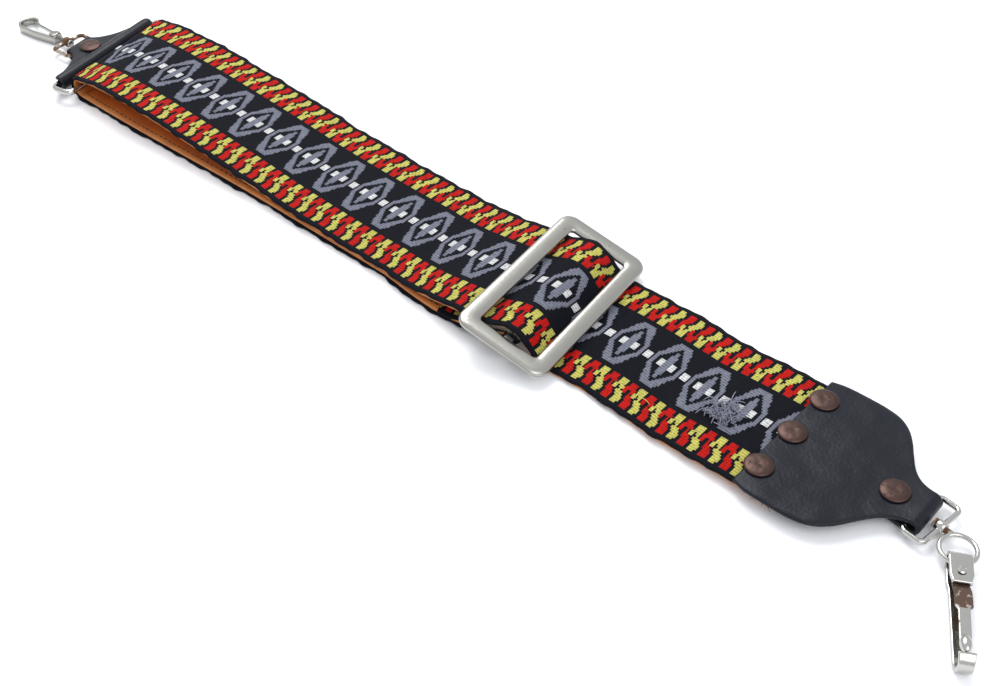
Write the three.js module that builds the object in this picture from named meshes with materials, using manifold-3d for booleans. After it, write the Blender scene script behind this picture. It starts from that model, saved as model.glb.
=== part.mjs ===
// A woven guitar strap, laid out on a table: one patterned band with a vinyl lining is doubled back
// through a nickel slide, and a leather tab, a swivel and a snap hook hang at each end.
// Millimetres, +X along the strap towards the long hook, +Y across the band, +Z up.
import * as THREE from "three";
import { mergeVertices } from "three/addons/utils/BufferGeometryUtils.js";
import Module from "manifold-3d";

const wasm = await Module();
wasm.setup();

// ---------- driving dimensions ----------
const BAND_WIDTH = 50.8;
const WOVEN_THICK = 0.9;
const LINING_THICK = 0.6;
const CLEARANCE = 0.3; // between pieces that touch
const LEATHER_THICK = 1.4;

const SLIDE = {
  length: 33, width: 65, wall: 5.9, height: 2.6, corner: 4.5, centre: 8.1,
  pitch: THREE.MathUtils.degToRad(15.5), yaw: THREE.MathUtils.degToRad(7.5),
};
const BAR = { width: 3.0, height: 0.9, drop: 0.6, halfLength: 28.8 };

const FOLD = { x: -223.5, z: 5.0, radius: 4.45 }; // the far turn, to the middle of the weave
const FAR_YAW = THREE.MathUtils.degToRad(12);
const FAR_ORIGIN = { x: -224, y: -2.5 };
const RING = { inner: 0.6, outer: 9.3, half: 29.6, wire: 1.2, z: 4.75 };

const NEAR_RIVET_X = 88.7;
const NEAR_RIVET_Y = [17, 0, -17];
const NECK_RIVET_X = 121.7;
const FAR_RIVET_U = 16.9;
const RIVET = { cap: 4.4, capHeight: 0.95, shank: 1.1, hole: 1.45, back: 2.6, backHeight: 0.7 };

// Each neck: the middle of the leather's turn, and the wire loop that it holds.
const NEAR_NECK = { x: 130.6, z: 2.9, radius: 1.95, half: 6.6 };
const FAR_NECK = { u: 22.6, z: 2.9, radius: 1.85, half: 5.6 };
const LOOP_PLAY = -0.7; // how far a loop's bar sits from the middle of the turn
const LOOP_YAW = THREE.MathUtils.degToRad(-8); // both loops lie a little askew in their necks
const NEAR_LOOP = { half: 8.7, length: 6.9, wire: 0.85 };
const FAR_LOOP = { half: 7.2, length: 9.4, wire: 0.8 };
const SWIVEL = { outer: 1.9, hole: 1.25, length: 2.6, stem: 0.9, head: 1.5, headThick: 0.8 };

const EYE = { along: 7.53, aside: -2.86, radius: 5.0, wire: 0.72 }; // ring centre, from the barrel
const NEAR_HOOK = {
  angle: THREE.MathUtils.degToRad(-60), strip: 1.2, eyeRadius: 2.2, backZ: 0.65, bendAt: 30.4,
  bendRadius: 3.25, pinAt: 4.8, eyeHalf: 3.1, backHalf: 2.4, leaf: 0.7, slack: 0.4,
};
const FAR_HOOK = {
  reach: 7.1, strip: 1.1, low: 0.3, high: 3.7, bendAt: 17.4, bendRadius: 3.9, leaf: 0.6,
  pin: { a: 2.2, b: -1.5 },
};

const COLOUR = {
  weave: 0x1c2130, lining: 0xb3602b, leather: 0x23272f, nickel: 0xb9b8b0, rivet: 0x5c4440,
  rust: 0x7a5236, wire: 0x9d9a92,
};

// ---------- solids ----------
function solidOf(geometry) {
  const bare = geometry.clone();
  for (const name of Object.keys(bare.attributes)) {
    if (name !== "position") bare.deleteAttribute(name);
  }
  const merged = mergeVertices(bare, 1e-4);
  const mesh = new wasm.Mesh({
    numProp: 3,
    vertProperties: new Float32Array(merged.attributes.position.array),
    triVerts: new Uint32Array(merged.index.array),
  });
  return new wasm.Manifold(mesh);
}

function geometryOf(manifold) {
  const mesh = manifold.getMesh();
  const geometry = new THREE.BufferGeometry();
  geometry.setAttribute("position", new THREE.BufferAttribute(new Float32Array(mesh.vertProperties), 3));
  geometry.setIndex(new THREE.BufferAttribute(new Uint32Array(mesh.triVerts), 1));
  return geometry;
}

function join(first, ...others) {
  return geometryOf(others.reduce((whole, next) => whole.add(solidOf(next)), solidOf(first)));
}

function cut(first, ...others) {
  return geometryOf(others.reduce((whole, next) => whole.subtract(solidOf(next)), solidOf(first)));
}

function common(first, second) {
  return geometryOf(solidOf(first).intersect(solidOf(second)));
}

const vec = (x, y, z) => new THREE.Vector3(x, y, z);

// An evenly stepped smooth line through [x, z] points.
function smoothLine(points, step) {
  const curve = new THREE.CatmullRomCurve3(points.map(([x, z]) => vec(x, z, 0)), false, "centripetal");
  const count = Math.max(2, Math.round(curve.getLength() / step));
  return curve.getSpacedPoints(count).map((p) => [p.x, p.y]);
}

// Points on an arc about (x, z), from one angle to the other in degrees.
function arc(x, z, radius, from, to, steps) {
  return Array.from({ length: steps + 1 }, (_, i) => {
    const angle = THREE.MathUtils.degToRad(from + ((to - from) * i) / steps);
    return [x + radius * Math.cos(angle), z + radius * Math.sin(angle)];
  });
}

// The points of a line moved to its left by an offset.
function offsetLine(line, offset) {
  return line.map(([x, z], i) => {
    const [ax, az] = line[Math.max(i - 1, 0)];
    const [bx, bz] = line[Math.min(i + 1, line.length - 1)];
    const long = Math.hypot(bx - ax, bz - az);
    return [x - ((bz - az) / long) * offset, z + ((bx - ax) / long) * offset];
  });
}

// A strip on its line in the XZ plane, between two offsets to the line's left, as wide as it is told
// along Y. Each point of the line is a section of four corners, joined to the next by four walls.
function ribbon(line, low, high, width) {
  const below = offsetLine(line, low);
  const above = offsetLine(line, high);
  const half = width / 2;
  const corners = line.flatMap((_, i) => [
    below[i][0], -half, below[i][1], above[i][0], -half, above[i][1],
    above[i][0], half, above[i][1], below[i][0], half, below[i][1],
  ]);
  const walls = line.slice(1).flatMap((_, i) => [0, 1, 2, 3].flatMap((k) => {
    const here = 4 * i + k;
    const beside = 4 * i + ((k + 1) % 4);
    return [here, here + 4, beside + 4, here, beside + 4, beside];
  }));
  const last = 4 * (line.length - 1);
  const ends = [0, 1, 2, 0, 2, 3, last, last + 2, last + 1, last, last + 3, last + 2];
  const geometry = new THREE.BufferGeometry();
  geometry.setAttribute("position", new THREE.BufferAttribute(new Float32Array(corners), 3));
  geometry.setIndex([...walls, ...ends]);
  return geometry;
}

// A flat plate of the given outline in the XY plane.
function plate(outline, bottom, top) {
  const shape = new THREE.Shape(outline.map(([x, y]) => new THREE.Vector2(x, y)));
  const geometry = new THREE.ExtrudeGeometry(shape, { depth: top - bottom, bevelEnabled: false });
  geometry.translate(0, 0, bottom);
  return geometry;
}

// A round bar from a to b.
function rod(a, b, radius, sides = 16) {
  const geometry = new THREE.CylinderGeometry(radius, radius, a.distanceTo(b), sides);
  const turn = new THREE.Quaternion().setFromUnitVectors(vec(0, 1, 0), b.clone().sub(a).normalize());
  geometry.applyQuaternion(turn);
  geometry.translate((a.x + b.x) / 2, (a.y + b.y) / 2, (a.z + b.z) / 2);
  return geometry;
}

function ball(centre, radius, sides = 14) {
  const geometry = new THREE.SphereGeometry(radius, sides, Math.round(sides / 2) + 1);
  geometry.translate(centre.x, centre.y, centre.z);
  return geometry;
}

// A solid turned about the vertical axis through (x, y), from [radius, z] points listed from the top down.
function turned(profile, x, y, sides = 20) {
  const upwards = profile.map(([r, z]) => new THREE.Vector2(r, z)).reverse();
  const geometry = new THREE.LatheGeometry(upwards, sides);
  geometry.rotateX(Math.PI / 2);
  geometry.translate(x, y, 0);
  return geometry;
}

// ---------- the scene graph ----------
const strap = new THREE.Group();
const laid = new THREE.Group();
strap.add(laid);

function material(colour, roughness, metalness) {
  return new THREE.MeshStandardMaterial({ color: colour, roughness, metalness });
}

const finishes = {
  weave: () => material(COLOUR.weave, 0.85, 0),
  lining: () => material(COLOUR.lining, 0.55, 0),
  leather: () => material(COLOUR.leather, 0.45, 0),
  nickel: () => material(COLOUR.nickel, 0.35, 1),
  wire: () => material(COLOUR.wire, 0.4, 1),
  rust: () => material(COLOUR.rust, 0.8, 0.4),
  rivet: () => material(COLOUR.rivet, 0.45, 0.8),
};

function piece(parent, name, geometry, finish) {
  const mesh = new THREE.Mesh(geometry, finishes[finish]());
  mesh.name = name;
  parent.add(mesh);
}

// ---------- the band ----------
const SLIDE_BEND = { half: 56, aside: 2.1 }; // how far along, and how far aside

// How far the band runs askew: straight at the long hook's end, then turned by the slide and the far ring.
function skewAt(x) {
  const slide = Math.tan(SLIDE.yaw);
  const far = Math.tan(FAR_YAW);
  if (x > -25) return slide * THREE.MathUtils.smoothstep(62 - x, 0, 40);
  return slide + (far - slide) * Math.min(1, (-25 - x) / 198);
}

// How far the band's middle line leaves the X axis: it bends to pass square through the slide.
function driftAt(x) {
  const throughSlide = Math.abs(x) < SLIDE_BEND.half ? Math.sin((Math.PI * x) / SLIDE_BEND.half) : 0;
  return SLIDE_BEND.aside * throughSlide + FAR_ORIGIN.y * THREE.MathUtils.smoothstep(-x, 110, 215);
}

function layAskew(geometry) {
  const place = geometry.attributes.position;
  for (let i = 0; i < place.count; i += 1) {
    const x = place.getX(i);
    const y = place.getY(i);
    place.setXY(i, x - skewAt(x) * y, y + driftAt(x));
  }
  return geometry;
}

// Lines down the middle of the weave, walked from the long hook's end to the end on the slide's bar.
// The lining lies on the left of that walk once the band faces up, so its offsets are positive.
const farTurn = arc(FOLD.x, FOLD.z, FOLD.radius, 78, 270, 14);
const bandLines = {
  near: smoothLine([[98, 3.15], [86, 3.15], [76, 3.0], [62, 2.4], [46, 1.75], [32, 1.5], [19.4, 1.5]], 6),
  hump: smoothLine([
    [19, 1.5], [16, 1.5], [12.8, 1.7], [9.5, 2.8], [7.0, 5.4], [5.0, 8.4], [2.2, 10.5], [-1.8, 10.95],
    [-6, 9.95], [-10.2, 8.75], [-16, 8.65], [-24, 7.9], [-37, 5.7],
  ], 2.2),
  upper: smoothLine([
    [-37.4, 5.65], [-50, 4.1], [-65, 3.6], [-80, 3.8], [-95, 4.3], [-110, 5.0], [-125, 6.4], [-140, 7.9],
    [-155, 9.4], [-170, 10.8], [-185, 11.8], [-200, 12.2], [-212, 11.5],
  ], 7),
  fold: [[-212.4, 11.45], [-216, 11.0], [-219.5, 10.25], ...farTurn, [-219, FOLD.z - FOLD.radius]],
  lower: smoothLine([
    [-218.6, 0.55], [-190, 0.55], [-150, 0.55], [-110, 0.55], [-70, 0.55], [-34, 0.55], [-26, 0.75],
    [-18, 2.0], [-10, 4.5], [-4, 5.9], [0.2, 5.75], [1.8, 5.95], [2.75, 6.8], [2.5, 7.75], [0.6, 8.5],
    [-2, 8.95], [-5, 8.2], [-13, 5.3], [-21, 3.2], [-28, 2.45], [-33, 2.5],
  ], 2.2),
};
const liningEnds = { lower: -31 }; // the lining stops before the loop on the bar
const weaveHalf = WOVEN_THICK / 2;
const liningNear = weaveHalf + CLEARANCE;

function weaveOf(name) {
  return layAskew(ribbon(bandLines[name], -weaveHalf, weaveHalf, BAND_WIDTH));
}

function liningOf(name) {
  const stop = liningEnds[name] ?? Infinity;
  const firstRun = bandLines[name].findIndex(([x]) => x > stop);
  const line = firstRun > 0 ? bandLines[name].slice(0, firstRun) : bandLines[name];
  return layAskew(ribbon(line, liningNear, liningNear + LINING_THICK, BAND_WIDTH - 1.6));
}

const rivetBore = (x, y) => rod(vec(x, y, -2), vec(x, y, 12), RIVET.hole, 16);
const nearBores = NEAR_RIVET_Y.map((y) => rivetBore(NEAR_RIVET_X, y));

piece(laid, "band_near", cut(weaveOf("near"), ...nearBores), "weave");
piece(laid, "lining_near", cut(liningOf("near"), ...nearBores), "lining");
for (const name of ["hump", "upper", "fold", "lower"]) {
  piece(laid, `band_${name}`, weaveOf(name), "weave");
  piece(laid, `lining_${name}`, liningOf(name), "lining");
}

// ---------- the slide ----------
function roundedBox(halfX, halfY, radius) {
  const corner = (x, y, from) => arc(x, y, radius, from, from + 90, 5);
  return [
    ...corner(halfX - radius, halfY - radius, 0), ...corner(radius - halfX, halfY - radius, 90),
    ...corner(radius - halfX, radius - halfY, 180), ...corner(halfX - radius, radius - halfY, 270),
  ];
}

function slideFrame() {
  const bevel = 0.9;
  const side = SLIDE.length / 2 - bevel;
  const across = SLIDE.width / 2 - bevel;
  const open = SLIDE.wall - 2 * bevel;
  const toPoints = (outline) => outline.map(([x, y]) => new THREE.Vector2(x, y));
  const shape = new THREE.Shape(toPoints(roundedBox(side, across, SLIDE.corner - bevel)));
  shape.holes.push(new THREE.Path(toPoints(roundedBox(side - open, across - open, 1.8)).reverse()));
  const flat = SLIDE.height - 1.6;
  const ring = new THREE.ExtrudeGeometry(shape, {
    depth: flat, bevelEnabled: true, bevelThickness: 0.8, bevelSize: bevel, bevelSegments: 2,
  });
  ring.translate(0, 0, -flat / 2);
  const slot = new THREE.BoxGeometry(
    BAR.width + 2 * CLEARANCE, 2 * (BAR.halfLength + CLEARANCE), BAR.height + 2 * CLEARANCE,
  );
  slot.translate(0, 0, -BAR.drop);
  return cut(ring, slot);
}

function slideBar() {
  const line = [[-BAR.width / 2, 0], [BAR.width / 2, 0]];
  const bar = ribbon(line, -BAR.height / 2, BAR.height / 2, 2 * BAR.halfLength);
  return bar.translate(0, 0, -BAR.drop);
}

const slideTurned = new THREE.Group();
slideTurned.position.set(0, 0, SLIDE.centre);
slideTurned.rotation.z = SLIDE.yaw;
const slideTipped = new THREE.Group();
slideTipped.rotation.y = SLIDE.pitch;
slideTurned.add(slideTipped);
laid.add(slideTurned);
piece(slideTipped, "slide_frame", slideFrame(), "nickel");
piece(slideTipped, "slide_bar", slideBar(), "wire");

// ---------- leather tabs ----------
// Half an outline of a tab as [x, half width], mirrored to the other side.
function mirroredOutline(half) {
  return [...half, ...half.map(([x, y]) => [x, -y]).reverse()];
}

function tabHalf(points) {
  const curve = new THREE.SplineCurve(points.map(([x, y]) => new THREE.Vector2(x, y)));
  return curve.getSpacedPoints(24).map((p) => [p.x, p.y]);
}

const halfLeather = LEATHER_THICK / 2;

function nearTab() {
  const topZ = 4.65;
  const neck = NEAR_NECK;
  const top = [[86, topZ], [110, topZ], [117, 4.45], [124, 4.4], [neck.x, neck.z + neck.radius]];
  const turn = arc(neck.x, neck.z, neck.radius, 90, -90, 10);
  const under = [[127.5, 1.15], [124.5, 1.55], [121, 1.65], [113, 1.65]];
  const wide = mirroredOutline(tabHalf([
    [86, 25.8], [90, 26.8], [97, 27.1], [104, 26.9], [109, 25.9], [113, 23.4], [116, 20], [119, 15.4],
    [122, 11.2], [125, 8.6], [128.5, 7.2], [134.5, neck.half],
  ]));
  const upperLeaf = ribbon([...smoothLine(top, 4), ...turn.slice(1)], -halfLeather, halfLeather, 60);
  const lowerLeaf = ribbon(smoothLine([turn.at(-1), ...under], 3), -halfLeather, halfLeather, 2 * neck.half);
  const outlined = common(upperLeaf, plate(wide, -1, 9));
  const bores = [...nearBores, rivetBore(NECK_RIVET_X, 0)];
  return cut(join(outlined, lowerLeaf), ...bores);
}

function farTab() {
  const neck = FAR_NECK;
  const barTurn = arc(RING.outer, RING.z, 2.25, 25, 270, 13);
  const top = [
    [neck.u, neck.z + neck.radius], [19.5, 4.9], [FAR_RIVET_U, 4.95], [12.6, 4.95], barTurn[0],
  ];
  const tongue = smoothLine([[12.8, 1.75], [19.2, 1.75], [21, 1.2], [neck.u, neck.z - neck.radius]], 1.6);
  const neckTurn = arc(neck.u, neck.z, neck.radius, -90, 90, 10);
  const leafEnd = [barTurn.at(-1), [12.2, 3.1], [18.8, 3.25]];
  const wide = mirroredOutline(tabHalf([
    [6.2, 26.2], [9, 26.6], [11.5, 25.2], [13, 21], [14.6, 15.5], [16.6, 11], [19, 8], [21.6, 6.2], [26, neck.half],
  ]));
  const line = [...neckTurn, ...smoothLine(top, 2).slice(1), ...barTurn.slice(1)];
  const main = ribbon(line, -halfLeather, halfLeather, 60);
  const returned = ribbon(smoothLine(leafEnd, 2), -halfLeather, halfLeather, 60);
  const outlined = common(join(main, returned), plate(wide, -1, 10));
  const narrow = ribbon(tongue, -halfLeather, halfLeather, 2 * neck.half);
  return cut(join(outlined, narrow), rivetBore(FAR_RIVET_U, 0));
}

// ---------- rivets ----------
function rivetCap(x, y, seat, end) {
  const { cap, capHeight, shank } = RIVET;
  return turned([
    [0, seat + capHeight], [cap * 0.55, seat + capHeight * 0.97], [cap * 0.86, seat + capHeight * 0.78],
    [cap, seat + capHeight * 0.3], [cap, seat], [shank, seat], [shank, end], [0, end],
  ], x, y);
}

function rivetBack(x, y, seat) {
  const { back, backHeight } = RIVET;
  const top = seat - CLEARANCE;
  return turned([
    [0, top], [back, top], [back, top - backHeight * 0.5], [back * 0.8, top - backHeight], [0, top - backHeight],
  ], x, y, 16);
}

function rivet(parent, name, x, y, seat, under) {
  piece(parent, `${name}_cap`, rivetCap(x, y, seat, under), "rivet");
  piece(parent, `${name}_back`, rivetBack(x, y, under), "rivet");
}

// ---------- loops, swivels and rings ----------
// A closed wire that follows the given outline in the XY plane.
function closedWire(outline, wire) {
  const path = new THREE.CurvePath();
  outline.forEach(([x, y], i) => {
    const [nextX, nextY] = outline[(i + 1) % outline.length];
    path.add(new THREE.LineCurve3(vec(x, y, 0), vec(nextX, nextY, 0)));
  });
  return new THREE.TubeGeometry(path, 44, wire, 8, true);
}

// A rectangle from x = low to x = high, as wide as 2 * half, with round corners.
function wireOutline(low, high, half, corner) {
  return [
    ...arc(low + corner, half - corner, corner, 180, 90, 3),
    ...arc(high - corner, half - corner, corner, 90, 0, 3),
    ...arc(high - corner, corner - half, corner, 0, -90, 3),
    ...arc(low + corner, corner - half, corner, -90, -180, 3),
  ];
}

// A wire loop in its own frame: the held bar on the Y axis, and the bored swivel barrel at +X.
function swivelLoop({ half, length, wire }) {
  const frame = closedWire(wireOutline(0, length, half, 1.6), wire);
  const reach = SWIVEL.length / 2;
  const drum = rod(vec(length - reach, 0, 0), vec(length + reach, 0, 0), SWIVEL.outer, 20);
  const bore = rod(vec(length - 4, 0, 0), vec(length + 4, 0, 0), SWIVEL.hole, 16);
  return cut(join(frame, drum), bore);
}

// The swivel's headed pin, with the middle of the barrel at the origin and its end at "reach".
function swivelPin(reach) {
  const inner = -SWIVEL.length / 2 - CLEARANCE;
  const head = rod(vec(inner - SWIVEL.headThick, 0, 0), vec(inner, 0, 0), SWIVEL.head, 16);
  const pin = rod(vec(inner - SWIVEL.headThick / 2, 0, 0), vec(reach, 0, 0), SWIVEL.stem, 14);
  return join(head, pin);
}

function nearEye() {
  const ring = new THREE.TorusGeometry(EYE.radius, EYE.wire, 8, 28);
  ring.translate(EYE.along, EYE.aside, 0);
  const reach = EYE.along - Math.sqrt(EYE.radius ** 2 - EYE.aside ** 2);
  return join(ring, swivelPin(reach));
}

// ---------- the long hook, in its own frame: +X along the hook, the ring's wire above the origin ----------
function nearHookBody(wireZ) {
  const { eyeRadius, backZ, bendAt, bendRadius, strip, pinAt, eyeHalf, backHalf } = NEAR_HOOK;
  const tail = [[8.4, wireZ + 2.35], [pinAt, wireZ + 2.3]];
  const eye = arc(0, wireZ, eyeRadius, 90, 270, 12);
  const back = [[3.5, backZ + 0.15], [8, backZ], [16, backZ], [24, backZ]];
  const bend = arc(bendAt, backZ + bendRadius, bendRadius, -90, 75, 12);
  const section = ribbon([...tail, ...eye, ...back, ...bend], -strip / 2, strip / 2, 12);
  const outline = mirroredOutline([
    [-4, eyeHalf], [5.8, eyeHalf], [7.6, backHalf + 0.2], [20, backHalf], [36, backHalf - 0.3],
  ]);
  const bore = rod(vec(pinAt, 0, wireZ + 1), vec(pinAt, 0, wireZ + 4), 0.85, 14);
  return cut(common(section, plate(outline, -1, 12)), bore);
}

function nearHookGate(wireZ) {
  const { leaf, pinAt, bendAt } = NEAR_HOOK;
  const root = wireZ + 0.9;
  const high = wireZ + 3.0;
  const noseAt = bendAt - 2.6;
  const line = smoothLine(
    [[3.2, root], [8.3, root + 0.05], [11.5, high - 0.5], [15, high], [noseAt, high + 0.05]], 1.6,
  );
  const outline = mirroredOutline([[2, 2.3], [16.6, 2.3], [17.6, 1.55], [31, 1.55]]);
  const strip = common(ribbon(line, -leaf / 2, leaf / 2, 10), plate(outline, 0, 12));
  const nose = ball(vec(0, 0, 0), 1, 16);
  nose.scale(2.7, 1.6, 1.45).translate(noseAt, 0, high + 0.1);
  const bore = rod(vec(pinAt, 0, root - 2), vec(pinAt, 0, root + 2), 0.85, 14);
  return cut(join(strip, nose), bore);
}

function nearHookRivet(wireZ) {
  const head = wireZ + 3.2;
  const foot = wireZ + 0.2;
  return turned([
    [0, head + 0.4], [0.8, head + 0.35], [1.2, head + 0.1], [1.2, head], [0.55, head], [0.55, foot],
    [1.0, foot], [1.0, foot - 0.3], [0, foot - 0.3],
  ], NEAR_HOOK.pinAt, 0, 16);
}

// ---------- the small hook, lying on its side: +X along the hook, from its base ----------
// The outline of a strip bent in the XY plane, as a plate from one height to another.
function uprightStrip(line, thick, low, high) {
  return plate([...offsetLine(line, -thick / 2), ...offsetLine(line, thick / 2).reverse()], low, high);
}

const EAR_THICK = 0.6;

function farHookBody(axisZ) {
  const { strip, low, high, bendAt, bendRadius, reach, pin } = FAR_HOOK;
  const line = [[0.3, 1.7], [4, 2.6], [10, 3.5], ...arc(bendAt, 0.1, bendRadius, 90, -95, 16)];
  const bow = uprightStrip(line, strip, low, high);
  const web = new THREE.BoxGeometry(1.2, 4.4, high - low);
  web.translate(0, 0, (low + high) / 2);
  const earOutline = [[-0.2, -2.2], [2.2, -2.6], [3.3, -1.6], [3.3, 1.2], [1.5, 2.2], [-0.2, 2.2]];
  const lowEar = plate(earOutline, low, low + EAR_THICK);
  const highEar = plate(earOutline, high - EAR_THICK, high);
  const shaft = swivelPin(reach).translate(-reach, 0, axisZ);
  const bore = rod(vec(pin.a, pin.b, -1), vec(pin.a, pin.b, 6), 0.75, 14);
  return cut(join(bow, web, lowEar, highEar, shaft), bore);
}

function farHookGate() {
  const { leaf, low, high, pin } = FAR_HOOK;
  const inset = EAR_THICK + CLEARANCE;
  const knuckle = rod(vec(pin.a, pin.b, low + inset), vec(pin.a, pin.b, high - inset), 1.1, 16);
  const leafLine = [[pin.a, pin.b - 0.4], [17.6, -2.55]];
  const tongue = uprightStrip(leafLine, leaf, low + inset, high - inset);
  const bore = rod(vec(pin.a, pin.b, -1), vec(pin.a, pin.b, 6), 0.75, 14);
  return cut(join(knuckle, tongue), bore);
}

function farHookPin() {
  const { low, high, pin } = FAR_HOOK;
  return rod(vec(pin.a, pin.b, low - 0.15), vec(pin.a, pin.b, high + 0.15), 0.45, 12);
}

// ---------- the near end: tab, loop, ring and long hook ----------
const NEAR_SEAT = 4.65 + halfLeather; // the top of the leather over the band
piece(laid, "near_tab", nearTab(), "leather");
NEAR_RIVET_Y.forEach((y, i) => {
  rivet(laid, `near_rivet_${i + 1}`, NEAR_RIVET_X, y, NEAR_SEAT + CLEARANCE, 1.75);
});
rivet(laid, "near_neck_rivet", NECK_RIVET_X, 0, 5.4, 1.05);

const nearSwivel = new THREE.Group();
nearSwivel.position.set(NEAR_NECK.x + LOOP_PLAY, 0, NEAR_NECK.z);
nearSwivel.rotation.z = LOOP_YAW;
laid.add(nearSwivel);
piece(nearSwivel, "near_loop", swivelLoop(NEAR_LOOP), "wire");
piece(nearSwivel, "near_eye", nearEye().translate(NEAR_LOOP.length, 0, 0), "rust");

const nearHook = new THREE.Group();
const nearHookTurn = NEAR_HOOK.angle - LOOP_YAW;
const hangsAt = EYE.radius - NEAR_HOOK.slack;
nearHook.position.set(
  NEAR_LOOP.length + EYE.along + hangsAt * Math.cos(nearHookTurn),
  EYE.aside + hangsAt * Math.sin(nearHookTurn),
  -NEAR_NECK.z,
);
nearHook.rotation.z = nearHookTurn;
nearSwivel.add(nearHook);
piece(nearHook, "near_hook_body", nearHookBody(NEAR_NECK.z), "nickel");
piece(nearHook, "near_hook_gate", nearHookGate(NEAR_NECK.z), "nickel");
piece(nearHook, "near_hook_rivet", nearHookRivet(NEAR_NECK.z), "nickel");

// ---------- the far end: ring, tab, loop and small hook ----------
const farEnd = new THREE.Group();
farEnd.position.set(FAR_ORIGIN.x, FAR_ORIGIN.y, 0);
farEnd.rotation.z = Math.PI + FAR_YAW;
laid.add(farEnd);
const ringWire = closedWire(wireOutline(RING.inner, RING.outer, RING.half, 2.4), RING.wire);
piece(farEnd, "far_ring", ringWire.translate(0, 0, RING.z), "wire");
piece(farEnd, "far_tab", farTab(), "leather");
rivet(farEnd, "far_rivet", FAR_RIVET_U, 0, 5.95, 1.1);

const farSwivel = new THREE.Group();
farSwivel.position.set(FAR_NECK.u + LOOP_PLAY, 0, FAR_NECK.z);
farSwivel.rotation.z = LOOP_YAW;
farEnd.add(farSwivel);
piece(farSwivel, "far_loop", swivelLoop(FAR_LOOP), "rust");

const farHook = new THREE.Group();
farHook.position.set(FAR_LOOP.length + FAR_HOOK.reach, 0, -FAR_NECK.z);
farSwivel.add(farHook);
piece(farHook, "far_hook_body", farHookBody(FAR_NECK.z), "nickel");
piece(farHook, "far_hook_gate", farHookGate(), "nickel");
piece(farHook, "far_hook_pin", farHookPin(), "nickel");

// ---------- the origin: under the middle of the strap's box, on the table ----------
strap.updateMatrixWorld(true);
const box = new THREE.Box3().setFromObject(strap, true);
laid.position.set(-(box.min.x + box.max.x) / 2, -(box.min.y + box.max.y) / 2, -box.min.z);

export default strap;
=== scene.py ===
# %% [markdown]
# # A woven guitar strap
# The strap is one long patterned band with a vinyl lining. It is doubled back through a metal slide, and
# each end carries a leather tab, a wire loop with a swivel and a snap hook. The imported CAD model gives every
# place and joint; the cells below build the fine surfaces around it, one kind of piece at a time.

# %% Load the fixed frame
import math

import bpy
import numpy as np
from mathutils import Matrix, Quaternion, Vector


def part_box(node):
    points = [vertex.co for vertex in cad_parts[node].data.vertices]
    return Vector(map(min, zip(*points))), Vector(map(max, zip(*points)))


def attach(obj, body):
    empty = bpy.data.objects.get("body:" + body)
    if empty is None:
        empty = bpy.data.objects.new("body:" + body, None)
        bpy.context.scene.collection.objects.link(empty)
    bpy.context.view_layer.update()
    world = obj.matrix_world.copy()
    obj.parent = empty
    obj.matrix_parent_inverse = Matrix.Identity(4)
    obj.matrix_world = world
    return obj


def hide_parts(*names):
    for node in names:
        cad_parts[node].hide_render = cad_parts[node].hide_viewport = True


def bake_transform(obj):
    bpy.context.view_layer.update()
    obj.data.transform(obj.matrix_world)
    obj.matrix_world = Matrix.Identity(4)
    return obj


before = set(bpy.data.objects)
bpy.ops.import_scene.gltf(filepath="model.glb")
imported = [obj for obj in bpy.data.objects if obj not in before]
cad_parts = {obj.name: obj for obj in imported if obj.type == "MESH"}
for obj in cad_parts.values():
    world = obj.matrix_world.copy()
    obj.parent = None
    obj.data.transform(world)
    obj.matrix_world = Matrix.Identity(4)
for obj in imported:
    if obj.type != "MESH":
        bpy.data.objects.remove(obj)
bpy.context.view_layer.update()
MM = 0.001
slide_low, slide_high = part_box("slide_frame")
MIDDLE = np.array((slide_low + slide_high) / 2) / MM  # the slide's middle, in millimetres
print("slide middle in mm", MIDDLE.round(2))

# %% [markdown]
# ## Numbers that the whole strap shares
# All shapes below are worked out in millimetres about the slide's middle on the table, and one function
# moves them to the row frame. The band is a two-inch webbing, with a thin lining a hair away from it.

# %% Shared sizes
BAND_WIDTH = 50.8
LINING_WIDTH = 49.2
WEAVE_HALF = 0.45
LINING_NEAR = 0.75
LINING_FAR = 1.35
SLIDE_YAW = math.radians(7.5)
SLIDE_PITCH = math.radians(15.5)
SLIDE_Z = 8.1
FAR_YAW = math.radians(12)
FAR_DRIFT = -2.5
SLIDE_BEND_HALF = 56.0
SLIDE_BEND_ASIDE = 2.1
TABLE_DROP = 0.05


def on_table(points):
    """Millimetres about the slide's middle, as metres in the row frame."""
    return (np.asarray(points, float) + [MIDDLE[0], MIDDLE[1], -TABLE_DROP]) * MM


# %% [markdown]
# ## Lines and surfaces
# Almost every piece here is a strip or a wire that follows a line, so four small helpers make them all:
# a smooth line through chosen points, a slab with a top and a bottom skin, a wire round a line, and a
# turned solid. Each works on whole arrays, and each mesh comes out closed with its faces pointing out.

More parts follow.
